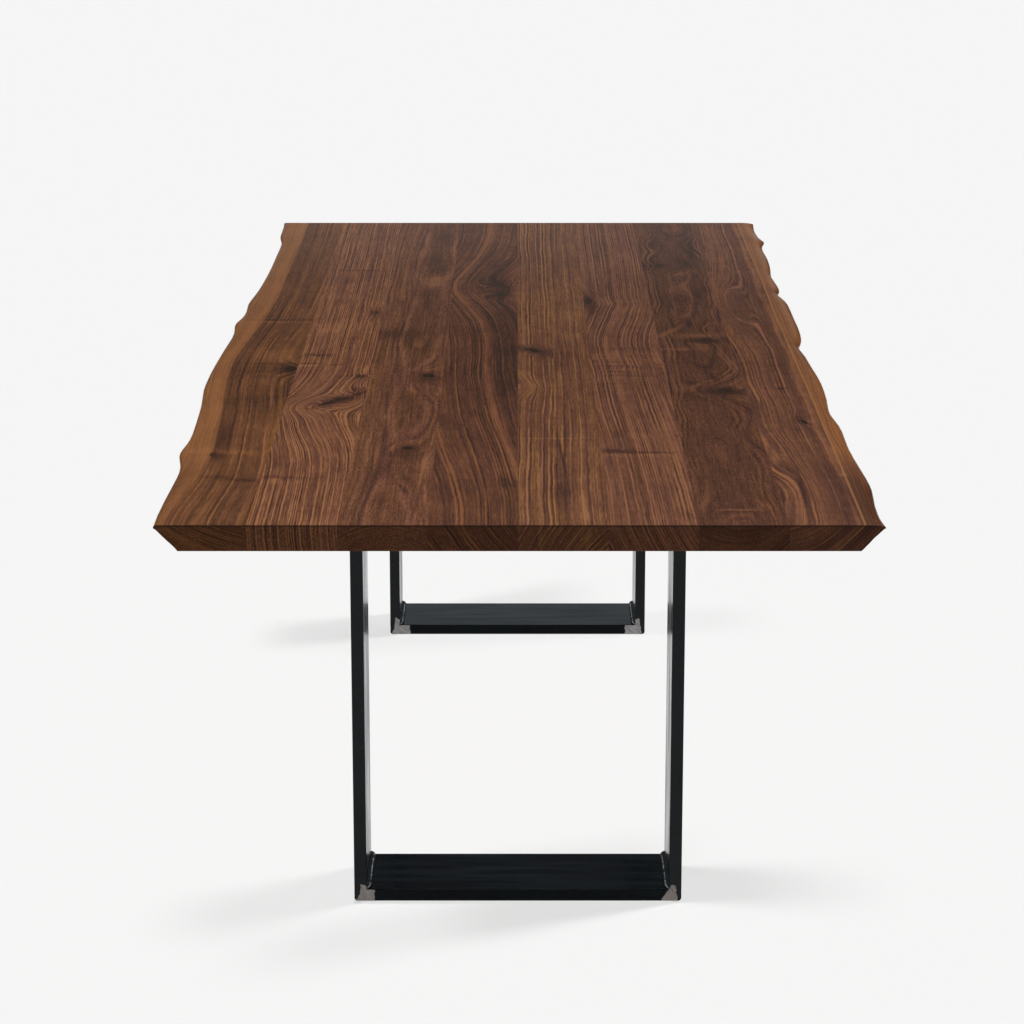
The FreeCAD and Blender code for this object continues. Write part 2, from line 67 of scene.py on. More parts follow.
# The eight staves: walnut boards planed square and glued edge to edge, then sanded and oiled as one slab.
# Each comes from its own plank, so each has its own pith, ring width, tone, knots and flow of grain.
TABLE_SURFACE = cad_box[1].z
OIL_SHEEN = 0.015
OIL_ROUGHNESS = 0.12
GRAIN_RELIEF = 0.00006
PLANK_SEED_STEP = 17.3
OFF_THE_TABLE = 9.0


def screen(red, green, blue):
    """A shader colour from the 0 to 255 values of a colour on a screen."""
    return tuple(((value / 255 + 0.055) / 1.055) ** 2.4 for value in (red, green, blue)) + (1.0,)


class Wire:
    """An output of a shader node. Sums and products of wires add the maths nodes that work them out."""

    def __init__(self, socket):
        self.socket = socket
        self.tree = socket.id_data

    def maths(self, operation, *others):
        return put(self.tree, "ShaderNodeMath", self, *others, operation=operation)[0]

    def __add__(self, other):
        return self.maths("ADD", other)

    def __sub__(self, other):
        return self.maths("SUBTRACT", other)

    def __mul__(self, other):
        return self.maths("MULTIPLY", other)

    def __truediv__(self, other):
        return self.maths("DIVIDE", other)


def put(tree, kind, *inputs, named=None, **settings):
    """Adds a node with its settings, feeds its inputs in order and by name, and gives its outputs."""
    node = tree.nodes.new(kind)
    for setting, value in settings.items():
        setattr(node, setting, value)
    fed = list(zip(node.inputs, inputs))
    fed += [(node.inputs[name], value) for name, value in (named or {}).items()]
    for socket, value in fed:
        if isinstance(value, Wire):
            tree.links.new(value.socket, socket)
        else:
            socket.default_value = value
    return [Wire(socket) for socket in node.outputs]


def spot(tree):
    """The three coordinates of the shaded point in the table's own frame, in metres."""
    place = put(tree, "ShaderNodeTexCoord")[3]
    return put(tree, "ShaderNodeSeparateXYZ", place)


def facing(tree):
    """How far the surface faces across, along and up the table."""
    normal = put(tree, "ShaderNodeNewGeometry")[1]
    return put(tree, "ShaderNodeSeparateXYZ", normal)


def join(x, y, z):
    """Three numbers as one place."""
    return put(x.tree, "ShaderNodeCombineXYZ", x, y, z)[0]


def cloud(place, detail=2.0, roughness=0.5):
    """A value round a half that drifts from place to place, one unit to a patch."""
    values = {"Vector": place, "Scale": 1.0, "Detail": detail, "Roughness": roughness}
    return put(place.tree, "ShaderNodeTexNoise", named=values)[0]


def layers(painted_shade_and_dark_grain, detail=0.0):
    """A value round a half that drifts along one number, as wood changes from ring to ring."""
    values = {"W": painted_shade_and_dark_grain, "Scale": 1.0, "Detail": detail}
    return put(painted_shade_and_dark_grain.tree, "ShaderNodeTexNoise", named=values, noise_dimensions="1D")[0]


def level(value, start, end, low=0.0, high=1.0, curve="LINEAR"):
    """Rises evenly from low at start to high at end, and stays level outside."""
    inputs = (value, start, end, low, high)
    return put(value.tree, "ShaderNodeMapRange", *inputs, interpolation_type=curve)[0]


def ramp(value, start, end, low=0.0, high=1.0):
    """Rises softly from low at start to high at end, and stays level outside."""
    return level(value, start, end, low, high, "SMOOTHSTEP")


def mix(share, first, second, how="MIX"):
    """Two colours mixed, with a share of the second."""
    tree = next(part.tree for part in (share, first, second) if isinstance(part, Wire))
    sockets = {0: share, 6: first, 7: second}
    return put(tree, "ShaderNodeMix", named=sockets, data_type="RGBA", blend_type=how)[2]


def new_group(name, inputs, outputs):
    """An empty node group, with the wires of its inputs by name."""
    group = bpy.data.node_groups.new(name, "ShaderNodeTree")
    for side, sockets in (("INPUT", inputs), ("OUTPUT", outputs)):
        for label, kind in sockets.items():
            group.interface.new_socket(label, in_out=side, socket_type=f"NodeSocket{kind}")
    source = group.nodes.new("NodeGroupInput")
    return group, {socket.name: Wire(socket) for socket in source.outputs if socket.name}


def new_material(name, **constants):
    """A material with one Principled shader, whose constants are set on its own sockets."""
    material = bpy.data.materials.new(name)
    material.use_nodes = True
    shader = material.node_tree.nodes["Principled BSDF"]
    for label, value in constants.items():
        shader.inputs[label.replace("_", " ")].default_value = value
    return material, shader


def dress(material, shader, colour, roughness, height, relief, metallic=None):
    """Joins the colour, roughness, relief and metal of a finish to its shader."""
    tree = material.node_tree
    tree.links.new(colour.socket, shader.inputs["Base Color"])
    tree.links.new(roughness.socket, shader.inputs["Roughness"])
    if metallic:
        tree.links.new(metallic.socket, shader.inputs["Metallic"])
    bump = put(tree, "ShaderNodeBump", named={"Strength": 1.0, "Distance": relief, "Height": height})[0]
    tree.links.new(bump.socket, shader.inputs["Normal"])


def paint(material, *names):
    """Gives a finish to pieces of the frame."""
    for name in names:
        nodes[name].material_slots[0].material = material


# A mark in the figure of a stave: its middle, half width and half length in metres and its turn in degrees;
# how far it pushes the grain aside, how much it parts it, how far the rings rise to it as round a branch,
# how much it lightens the wood, how dark a knot it has and how strongly it ripples across the grain
Mark = namedtuple("Mark", "x y wide long turn push part eye shade knot curl", defaults=(0,) * 7)
RAGGED_FROM = 0.007
RAGGED_ACROSS = 0.016
RAGGED_ALONG = 0.034
HALO_SIZE = 2.0
HALO_SHADE = -0.55
HALO_RISE = 0.012

# How far grain moves at one mark
mark_inputs = (
    "X", "Y", "Middle X", "Middle Y", "Half Width", "Half Length", "Turn Cosine", "Turn Sine",
    "Push", "Part",
)
mark_group, wires = new_group(
    "figure_mark", {label: "Float" for label in mark_inputs}, {"Mask": "Float", "Shift": "Float"}
)
off_x = wires["X"] - wires["Middle X"]
off_y = wires["Y"] - wires["Middle Y"]
wide_share = (off_x * wires["Turn Cosine"] + off_y * wires["Turn Sine"]) / wires["Half Width"]
long_share = (off_y * wires["Turn Cosine"] - off_x * wires["Turn Sine"]) / wires["Half Length"]
mask = (wide_share * wide_share + long_share * long_share).maths("MULTIPLY", -1.0).maths("EXPONENT")
shift = mask * (wires["Push"] - wires["Part"] * off_x)
put(mark_group, "NodeGroupOutput", mask, shift)

# Walnut cut from a log: year rings round a pith, their tones, fibres, pores, sapwood, knots and end grain,
# and painted shade
JITTER = 0.0018
CURL_WAVE = 0.006
RINGS_TO_A_ZONE = 0.21
RINGS_TO_A_HUE = 0.45
STRAND_HALF_WIDTH = 0.014
SAP_EDGE = 0.0015
SAP_RIM_WIDTH = 0.022
SAP_RIM_STEP = 0.002
SAP_LINE_HALF_WIDTH = 0.0022
SAP_FADES_ALONG = (-1.10, -0.82, 0.25, 1.0)
FRONT_LINES_ALONG = (-0.55, -0.25)
END_TOP_FROM = TABLE_SURFACE - 0.0035
END_TOP_TO = TABLE_SURFACE - 0.0015
YELLOW_TINT = (1.03, 1.02, 0.83, 1)
PURPLE_TINT = (1.02, 0.97, 1.14, 1)
SAP_LINE_COLOUR = screen(166, 116, 76)
KNOT_COLOUR = screen(42, 29, 19)
SHADE_AND_DARK_GRAIN_COLOUR = screen(30, 19, 14)
numbers = (
    "Across", "Pith X", "Pith Z", "Lean", "Ring Width", "Wander", "Seed", "Band", "Stripe", "Streak",
    "Thread", "Fleck", "Swell", "Sap Radius", "Sap Line", "Sap Rim", "Strand", "Front Lines", "Eye", "Shade",
    "Knot", "Curl",
)
walnut_inputs = {label: "Float" for label in numbers}
walnut_inputs |= {label: "Color" for label in ("Dark", "Brown", "Light", "Sapwood")}
walnut_group, wires = new_group(
    "walnut_figure", walnut_inputs, {"Colour": "Color", "Roughness": "Float", "Height": "Float"}
)
x, y, z = spot(walnut_group)
seed = wires["Seed"]


def figure(across, wide, long, detail=1.0, roughness=0.5):
    """A drifting value round zero, so many patches to the metre across the grain and along it."""
    place = join(across * wide + seed, y * long, z * wide)
    return cloud(place, detail, roughness) - 0.5


across = wires["Across"]
drift = figure(across, wide=7.0, long=1.3)
waver = figure(across, wide=40.0, long=9.0)
jitter = figure(across, wide=170.0, long=34.0, detail=2.0)
bars = figure(across, wide=10.0, long=62.0)
wander = (drift * 2.0 + waver * 0.35) * wires["Wander"]
bent = across + wander + jitter * JITTER + bars * wires["Curl"] * CURL_WAVE
from_pith = bent - wires["Pith X"] - y * wires["Lean"]
over_pith = z - TABLE_SURFACE - wires["Pith Z"]
radius = (from_pith * from_pith + over_pith * over_pith).maths("SQRT")
swell = figure(across, wide=11.0, long=3.4) * wires["Swell"] + wires["Eye"]
rings = (radius + swell) / wires["Ring Width"]
zone = layers(rings * RINGS_TO_A_ZONE + seed) - 0.5
ring = layers(rings + seed * 2.3, detail=1.0) - 0.5
fade = ramp(figure(bent, wide=50.0, long=3.4), -0.14, 0.14, 0.35, 1.45)
thread = figure(bent, wide=330.0, long=9.0, detail=2.0, roughness=0.6)
hair = figure(bent, wide=900.0, long=30.0)
dash = figure(across, wide=520.0, long=70.0, detail=2.0, roughness=0.6)
patch = figure(across, wide=15.0, long=4.5, detail=2.0)
cloudlet = figure(across, wide=40.0, long=15.0)
ripple = figure(across, wide=17.0, long=85.0)
pore_places = join(across * 1500.0, y * 120.0, z * 1500.0)
pore = ramp(cloud(pore_places, detail=1.0), 0.58, 0.70)
streak = ramp(ring, 0.10, 0.26) * wires["Streak"]
_, facing_along, facing_up = facing(walnut_group)
facing_end = facing_along.maths("ABSOLUTE")
# Painted shade: the underside of the top is darkened.
painted_underside_shade = ramp(facing_up, -0.98, -0.85, 1.0, 0.0)
end_grain = ramp(facing_end, 0.75, 0.95)
front_lines = ramp(y, *FRONT_LINES_ALONG, wires["Front Lines"], 1.0)
lines = (ring * wires["Stripe"] + streak) * (fade + end_grain * 0.2) * front_lines
strand = ramp((bent - wires["Strand"]).maths("ABSOLUTE"), 0.0, STRAND_HALF_WIDTH, 1.0, 0.0)
sap_depth = radius - wires["Sap Radius"]
sap_fade = ramp(y, *SAP_FADES_ALONG)
sap_rim = ramp(sap_depth, -SAP_RIM_WIDTH, 0.0) * ramp(sap_depth, 0.0, SAP_RIM_STEP, 1.0, 0.0) * sap_fade
tone = zone * wires["Band"] + lines + thread * wires["Thread"] + hair * 0.8
tone = tone + dash * wires["Fleck"] + patch * 0.45 + cloudlet * 0.25 + ripple * 0.16
tone = tone + bars * wires["Curl"] * 0.6 + strand * 0.35 - sap_rim * wires["Sap Rim"] + wires["Shade"] + 0.5
brown = mix(level(tone, 0.0, 0.5), wires["Dark"], wires["Brown"])
heartwood = mix(level(tone, 0.5, 1.0), brown, wires["Light"])
ring_hue = layers(rings * RINGS_TO_A_HUE + seed * 4.1) - 0.5
thread_hue = figure(bent, wide=210.0, long=6.0)
patch_hue = figure(across, wide=11.0, long=3.0)
hue = ring_hue * 1.1 + thread_hue * 0.9 + patch_hue * 0.6 + 0.5
tint = mix(level(hue, 0.0, 1.0), YELLOW_TINT, PURPLE_TINT)
heartwood = mix(1.0, heartwood, tint, "MULTIPLY")
sap_share = ramp(sap_depth, -SAP_EDGE, SAP_EDGE) * sap_fade
sapwood = mix(level(tone, 0.2, 0.8, 0.6, 0.0), wires["Sapwood"], wires["Brown"])
wood = mix(sap_share * (end_grain * -0.8 + 1.0), heartwood, sapwood)
sap_line = ramp(sap_depth.maths("ABSOLUTE"), 0.0, SAP_LINE_HALF_WIDTH, 1.0, 0.0) * wires["Sap Line"]
wood = mix(sap_line, wood, SAP_LINE_COLOUR)
wood = mix(wires["Knot"], wood, KNOT_COLOUR)
# Painted shade: a dark line on the eased edges and along the top of the end faces, under the arris.
painted_arris_shade = ramp(facing_end, 0.2, 0.5) - end_grain
painted_end_top_shade = ramp(z, END_TOP_FROM, END_TOP_TO) * end_grain
# Pores and end grain darken the wood. The end faces are darkened further as painted shade, and so are the
# underside, the eased edges and the end tops.
painted_shade_and_dark_grain = pore * 0.2 + end_grain * 0.62 + painted_end_top_shade * 0.3 + painted_arris_shade * 0.6 + painted_underside_shade * 0.6
wood = mix(painted_shade_and_dark_grain, wood, SHADE_AND_DARK_GRAIN_COLOUR)
roughness = thread * 0.04 + pore * 0.06 + OIL_ROUGHNESS
height = thread * 0.3 - pore * 0.5 - wires["Knot"] * 0.5
put(walnut_group, "NodeGroupOutput", wood, roughness, height)


def walnut(number, marks, tones, **values):
    """The finish of one stave: its marks bend, shade and darken the grain of the walnut."""
    material, shader = new_material(f"walnut_stave_{number}", Specular_IOR_Level=OIL_SHEEN)
    tree = material.node_tree
    x, y, z = spot(tree)
    ragged_x = x + (cloud(join(x * 90.0, y * 50.0, z * 90.0), detail=3.0) - 0.5) * RAGGED_ACROSS
    ragged_y = y + (cloud(join(x * 90.0, y * 50.0 + 7.0, z * 90.0), detail=3.0) - 0.5) * RAGGED_ALONG
    across = x
    totals = {"eye": [], "shade": [], "curl": []}
    knot = None
    for mark in marks:
        ragged = (mark.knot or mark.shade) and min(mark.wide, mark.long) > RAGGED_FROM
        turn = math.radians(mark.turn)
        inputs = (
            ragged_x if ragged else x, ragged_y if ragged else y, mark.x, mark.y, mark.wide, mark.long,
            math.cos(turn), math.sin(turn), mark.push, mark.part,
        )
        mask, shift = put(tree, "ShaderNodeGroup", node_tree=mark_group, named=dict(enumerate(inputs)))
        if mark.push or mark.part:
            across = across + shift
        for effect in totals:
            if getattr(mark, effect):
                totals[effect].append(mask * getattr(mark, effect))
        if mark.knot:
            heart = ramp(mask, 0.2, 0.8, 0.0, mark.knot)
            knot = heart.maths("MAXIMUM", knot) if knot else heart
            inputs = (
                x, y, mark.x, mark.y, HALO_SIZE * mark.wide, HALO_SIZE * mark.long,
                math.cos(turn), math.sin(turn),
            )
            halo = put(tree, "ShaderNodeGroup", node_tree=mark_group, named=dict(enumerate(inputs)))[0]
            totals["shade"].append(halo * (HALO_SHADE * mark.knot))
            totals["eye"].append(halo * (HALO_RISE * mark.knot))
    inputs = {
        "Across": across, "Seed": number * PLANK_SEED_STEP, "Sap Radius": OFF_THE_TABLE,
        "Strand": OFF_THE_TABLE, "Front Lines": 1.0,
    }
    inputs |= tones
    for effect, masks in totals.items():
        if masks:
            inputs[effect.title()] = sum(masks[1:], masks[0])
    if knot:
        inputs["Knot"] = knot
    inputs |= {label.replace("_", " "): value for label, value in values.items()}
    colour, roughness, height = put(tree, "ShaderNodeGroup", node_tree=walnut_group, named=inputs)
    dress(material, shader, colour, roughness, height, GRAIN_RELIEF)
    return material


def tones(dark, brown, light, sapwood=(158, 107, 68)):
    """The colours of one plank, from those of a screen."""
    colours = zip(("Dark", "Brown", "Light", "Sapwood"), (dark, brown, light, sapwood))
    return {label: screen(*colour) for label, colour in colours}


walnut_by_stave = {}
walnut_by_stave[1] = walnut(
    1,
    [
        Mark(-0.470, -0.230, 0.60, 0.42, push=0.034),
        Mark(-0.470, -0.790, 0.30, 0.20, push=0.005),
        Mark(-0.500, -1.300, 0.10, 0.25, push=0.030),
        Mark(-0.388, -0.252, 0.014, 0.026, part=0.4, knot=1.0),
        Mark(-0.388, -0.400, 0.020, 0.150, shade=-0.4),
        Mark(-0.455, -0.280, 0.035, 0.080, shade=-0.15),
        Mark(-0.430, -0.490, 0.045, 0.060, shade=-0.15),
        Mark(-0.425, -0.295, 0.050, 0.012, shade=0.15),
        Mark(-0.425, -0.345, 0.045, 0.020, shade=0.12),
        Mark(-0.425, -0.208, 0.040, 0.005, shade=-0.3),
        Mark(-0.430, -0.130, 0.050, 0.060, shade=0.15),
        Mark(-0.463, -0.880, 0.006, 0.010, push=0.006, knot=0.4),
        Mark(-0.452, -0.895, 0.014, 0.020, shade=-0.3),
        Mark(-0.450, -0.862, 0.050, 0.012, shade=0.22),
        Mark(-0.410, -0.870, 0.025, 0.020, shade=0.12),
        Mark(-0.465, -0.760, 0.020, 0.090, shade=-0.3),
        Mark(-0.410, -1.040, 0.035, 0.010, turn=-12, shade=-0.4),
        Mark(-0.450, -1.020, 0.030, 0.006, shade=-0.25),
        Mark(-0.450, 0.187, 0.090, 0.006, shade=-0.4),
        Mark(-0.450, 0.166, 0.090, 0.008, shade=0.25),
    ],
    tones((69, 42, 28), (105, 67, 41), (144, 95, 57), (152, 100, 60)),
    Pith_X=-0.30, Pith_Z=0.20, Ring_Width=0.0026, Wander=0.006, Band=0.6, Stripe=1.0,
    Streak=0.05, Thread=0.8, Fleck=0.2, Swell=0.004, Sap_Radius=0.2535, Sap_Rim=0.26,
)
walnut_by_stave[2] = walnut(
    2,
    [
        Mark(-0.330, -0.610, 0.10, 0.22, push=0.045),
        Mark(-0.345, -0.550, 0.050, 0.060, push=0.030),
        Mark(-0.300, -0.505, 0.040, 0.060, part=0.9, eye=0.020),
        Mark(-0.308, -0.520, 0.010, 0.024, turn=-35, knot=1.0),
        Mark(-0.288, -0.490, 0.013, 0.022, turn=-40, knot=0.75),
        Mark(-0.262, -0.450, 0.007, 0.026, turn=-20, knot=0.6),
        Mark(-0.262, -0.415, 0.008, 0.012, knot=0.4),
        Mark(-0.265, -0.312, 0.010, 0.014, knot=0.6),
        Mark(-0.262, -0.270, 0.008, 0.030, shade=0.35),
        Mark(-0.345, -0.565, 0.040, 0.036, shade=0.2, curl=1.6),
        Mark(-0.350, -0.450, 0.035, 0.030, curl=0.8),
        Mark(-0.350, -0.136, 0.024, 0.011, shade=-0.6),
        Mark(-0.355, -0.224, 0.026, 0.007, shade=0.4),
        Mark(-0.365, -0.206, 0.030, 0.004, shade=-0.4),
        Mark(-0.325, -0.222, 0.025, 0.006, turn=15, shade=-0.35),
        Mark(-0.366, -1.020, 0.012, 0.014, shade=-0.5),
        Mark(-0.330, -1.030, 0.040, 0.008, shade=-0.35),
        Mark(-0.365, -0.950, 0.010, 0.060, shade=-0.3),
        Mark(-0.320, 0.705, 0.060, 0.006, shade=-0.35),
        Mark(-0.335, 0.110, 0.050, 0.070, shade=0.3, curl=0.8),
        Mark(-0.265, 0.255, 0.009, 0.022, knot=0.6),
    ],
    tones((77, 47, 34), (113, 72, 52), (155, 106, 70)),
    Pith_X=0.10, Pith_Z=0.02, Ring_Width=0.0032, Wander=0.006, Band=0.4, Stripe=2.5,
    Streak=0.35, Thread=1.4, Fleck=0.4,
)
walnut_by_stave[3] = walnut(
    3,
    [
        Mark(-0.168, -0.838, 0.010, 0.015, knot=1.0),
        Mark(-0.168, -0.930, 0.030, 0.170, eye=0.011),
        Mark(-0.158, -0.798, 0.018, 0.010, turn=-12, shade=0.4),
        Mark(-0.186, -0.836, 0.010, 0.006, shade=0.3),
        Mark(-0.169, -0.876, 0.017, 0.032, shade=-0.45),
        Mark(-0.160, -0.960, 0.018, 0.080, shade=-0.18),
        Mark(-0.192, -0.830, 0.006, 0.030, turn=-10, shade=0.3),
        Mark(-0.141, -0.970, 0.003, 0.140, turn=-2, shade=0.5),
        Mark(-0.150, -0.305, 0.011, 0.020, knot=1.0),
        Mark(-0.152, -0.340, 0.030, 0.130, eye=0.010),
        Mark(-0.156, -0.258, 0.016, 0.014, turn=-25, shade=0.4),
        Mark(-0.130, -0.300, 0.008, 0.014, shade=0.3),
        Mark(-0.152, -0.340, 0.020, 0.050, shade=-0.3),
        Mark(-0.225, 0.055, 0.045, 0.050, shade=-0.5),
        Mark(-0.165, 0.590, 0.026, 0.090, eye=0.005, shade=0.06),
    ],
    tones((74, 46, 32), (103, 65, 45), (135, 91, 61)),
    Pith_X=-0.17, Pith_Z=-0.12, Lean=0.01, Ring_Width=0.0030, Wander=0.010, Band=0.4,
    Stripe=0.9, Streak=0.0, Thread=1.4, Fleck=1.4, Swell=0.008,
)
walnut_by_stave[4] = walnut(
    4,
    [
        Mark(-0.060, 0.560, 0.200, 0.320, push=0.055),
        Mark(-0.060, 0.500, 0.120, 0.160, push=0.022),
        Mark(-0.045, 0.530, 0.016, 0.030, knot=0.3),
        Mark(-0.040, 0.500, 0.035, 0.070, eye=0.022),
        Mark(-0.033, 0.450, 0.009, 0.022, knot=0.6),
        Mark(-0.042, 0.580, 0.040, 0.140, shade=-0.3),
        Mark(-0.045, -0.230, 0.065, 0.280, shade=-0.28),
        Mark(-0.012, -0.450, 0.020, 0.380, shade=-0.22),
        Mark(-0.035, 0.200, 0.035, 0.250, shade=-0.22),
        Mark(-0.050, -1.250, 0.200, 0.550, push=-0.070),
        Mark(-0.018, -1.060, 0.014, 0.036, shade=-0.35),
    ],
    tones((57, 37, 28), (92, 57, 40), (129, 83, 54)),
    Pith_X=0.10, Pith_Z=0.15, Ring_Width=0.0030, Wander=0.010, Band=0.55, Stripe=1.2,
    Streak=0.05, Thread=1.0, Fleck=0.4, Swell=0.005, Strand=-0.052,
)
walnut_by_stave[5] = walnut(
    5,
    [
        Mark(0.027, -0.092, 0.010, 0.024, turn=35, part=0.6, knot=1.0),
        Mark(0.005, -0.400, 0.030, 0.060, push=-0.020, shade=0.2),
        Mark(0.050, -0.772, 0.060, 0.004, shade=0.3),
        Mark(0.070, 0.330, 0.050, 0.220, shade=0.2),
        Mark(0.031, -1.100, 0.0025, 0.220, shade=0.5),
        Mark(0.095, -1.220, 0.004, 0.090, turn=2, shade=0.4),
        Mark(0.014, -0.930, 0.005, 0.070, shade=0.35),
        Mark(0.067, -0.900, 0.0018, 0.130, turn=2, shade=-0.8),
        Mark(0.064, -1.100, 0.012, 0.200, shade=-0.35),
    ],
    tones((69, 44, 35), (105, 67, 47), (146, 102, 64)),
    Pith_X=0.25, Pith_Z=-0.15, Ring_Width=0.0030, Wander=0.010, Band=0.45, Stripe=1.15,
    Streak=0.10, Thread=0.9, Fleck=0.3, Swell=0.003,
)
walnut_by_stave[6] = walnut(
    6,
    [
        Mark(0.135, 0.380, 0.010, 0.040, part=0.5, knot=0.7),
        Mark(0.138, 0.300, 0.012, 0.080, shade=-0.6),
        Mark(0.165, 0.370, 0.018, 0.050, turn=20, shade=0.25),
        Mark(0.190, -0.330, 0.300, 0.420, push=0.026),
        Mark(0.190, 0.010, 0.200, 0.200, push=0.022),
        Mark(0.180, 0.340, 0.060, 0.050, push=-0.006),
        Mark(0.215, 0.285, 0.035, 0.035, shade=0.25),
        Mark(0.180, -0.210, 0.070, 0.210, curl=1.8),
        Mark(0.170, -0.755, 0.060, 0.030, curl=1.0),
        Mark(0.150, -0.857, 0.020, 0.010, shade=-0.8),
        Mark(0.190, -0.867, 0.040, 0.006, shade=-0.6),
        Mark(0.180, -0.886, 0.055, 0.008, shade=0.25),
        Mark(0.238, -0.900, 0.008, 0.500, shade=0.30),
    ],
    tones((73, 45, 36), (107, 69, 51), (141, 95, 66)),
    Pith_X=0.50, Pith_Z=0.15, Ring_Width=0.0030, Wander=0.006, Band=0.55, Stripe=1.85,
    Streak=0.05, Thread=1.1, Fleck=0.3, Swell=0.004,
)
walnut_by_stave[7] = walnut(
    7,
    [
        Mark(0.345, -0.422, 0.014, 0.018, knot=0.75),
        Mark(0.345, -0.420, 0.040, 0.110, eye=0.018),
        Mark(0.335, -0.435, 0.035, 0.014, shade=-0.35),
        Mark(0.370, -0.400, 0.006, 0.014, shade=0.6),
        Mark(0.331, -0.320, 0.006, 0.090, turn=12, shade=-0.3),
        Mark(0.370, -0.200, 0.0025, 0.120, turn=7, shade=0.7),
        Mark(0.361, -0.190, 0.0025, 0.100, turn=7, shade=0.6),
        Mark(0.345, -0.440, 0.030, 0.040, shade=-0.3),
        Mark(0.285, 0.755, 0.026, 0.020, knot=0.45),
        Mark(0.340, 0.000, 0.013, 0.012, knot=0.75),
        Mark(0.335, 0.060, 0.050, 0.090, eye=0.010),
        Mark(0.335, -0.012, 0.026, 0.012, shade=-0.5),
        Mark(0.325, 0.040, 0.035, 0.020, shade=0.55),
        Mark(0.280, -0.085, 0.028, 0.010, shade=0.55),
        Mark(0.275, 0.075, 0.007, 0.055, turn=-24, shade=0.7),
        Mark(0.312, 0.150, 0.008, 0.024, shade=-0.5),
        Mark(0.345, 0.430, 0.006, 0.030, shade=-0.5),
        Mark(0.362, 0.480, 0.007, 0.026, shade=-0.45),
        Mark(0.360, 0.970, 0.015, 0.130, shade=-0.5),
        Mark(0.312, -1.216, 0.026, 0.004, shade=0.9),
        Mark(0.350, -1.190, 0.008, 0.030, turn=12, shade=0.35),
        Mark(0.265, -1.180, 0.007, 0.050, turn=-12, shade=0.5),
    ],
    tones((60, 37, 28), (86, 54, 38), (118, 76, 53)),
    Pith_X=0.315, Pith_Z=0.09, Lean=0.01, Ring_Width=0.0038, Wander=0.014, Band=0.5,
    Stripe=2.1, Streak=0.0, Thread=1.1, Fleck=1.2, Swell=0.035, Front_Lines=0.6,
)
walnut_by_stave[8] = walnut(
    8,
    [
        Mark(0.454, -0.658, 0.0045, 0.020, turn=8, knot=1.0),
        Mark(0.437, -0.408, 0.010, 0.005, shade=-0.5),
        Mark(0.390, -0.900, 0.012, 0.045, shade=0.4),
        Mark(0.395, -1.130, 0.010, 0.110, shade=0.30),
        Mark(0.413, -1.100, 0.004, 0.110, turn=-1, shade=-0.45),
        Mark(0.385, -0.930, 0.030, 0.120, eye=0.008),
        Mark(0.405, 0.330, 0.034, 0.300, eye=0.030),
        Mark(0.500, -1.150, 0.035, 0.220, shade=-0.6),
        Mark(0.482, -1.008, 0.006, 0.008, shade=0.5),
        # Painted shade in the notches of the natural edge.
        Mark(0.500, 0.480, 0.020, 0.024, shade=-0.7),
        Mark(0.500, -0.035, 0.012, 0.018, shade=-0.4),
        Mark(0.492, 1.090, 0.020, 0.030, shade=-0.4),
        Mark(0.395, -1.120, 0.050, 0.250, push=-0.036),
    ],
    tones((66, 41, 33), (101, 65, 49), (146, 97, 63), (154, 99, 56)),
    Pith_X=0.30, Pith_Z=0.18, Ring_Width=0.0026, Wander=0.004, Band=0.7, Stripe=1.2,
    Streak=0.05, Thread=0.7, Fleck=0.2, Swell=0.014, Sap_Radius=0.2556, Sap_Line=0.7,
)
for number in range(2, 8):
    paint(walnut_by_stave[number], f"stave_{number}")

# The two edge staves: the outermost boards, which keep the natural edge of the tree. The bark is peeled off
# and the sapwood under it, which slopes in towards the underside, is brushed and oiled with the rest.
EDGE_STATIONS = 521
TOP_POINTS = 5
ROLL_POINTS = 9
FACE_POINTS = 15
NATURAL_EDGE_FROM = 0.45
UNDERCUT = 0.033
NOSE_DROP = 0.004
NOSE_TOLERANCE = 0.0005
ROUNDED_NOSE_DROP = 0.007
ROLL = 0.006
ROLL_START = 0.12
ROUNDED_FROM = 0.487
ROUNDED_AFTER = 0.06
END_EASE = 0.001
FLUTE_DEPTH = 0.0022
FLUTES_DOWN = 2.6
FLUTES_ALONG = 5.0
FLUTE_SEED = 7.0
DENTS_DOWN = 7.0
DENTS_ALONG = 22.0
DENT_SEED = 3.0
EDGE_CREASE = math.radians(35)


def skin(start, rows, count, flipped):
    """The faces of a bar drawn through rows of points from end to end, and of both ends."""
    faces = []
    for row in range(rows - 1):
        here = start + row * count
        beyond = here + count
        for column in range(count):
            following = (column + 1) % count
            face = (here + column, here + following, beyond + following, beyond + column)
            faces.append(face[::-1] if flipped else face)
    near_end = tuple(range(start, start + count))
    far_end = tuple(range(start + (rows - 1) * count, start + rows * count))
    faces.append(near_end if flipped else near_end[::-1])
    faces.append(far_end[::-1] if flipped else far_end)
    return faces


def smooth_object(name, points, faces, crease):
    """An object that is shaded smooth, with edges sharper than the crease left sharp."""
    mesh = bpy.data.meshes.new(name)
    mesh.from_pydata(points, [], faces)
    mesh.shade_smooth()
    mesh.set_sharp_from_angle(angle=crease)
    piece = bpy.data.objects.new(name, mesh)
    bpy.context.scene.collection.objects.link(piece)
    return piece


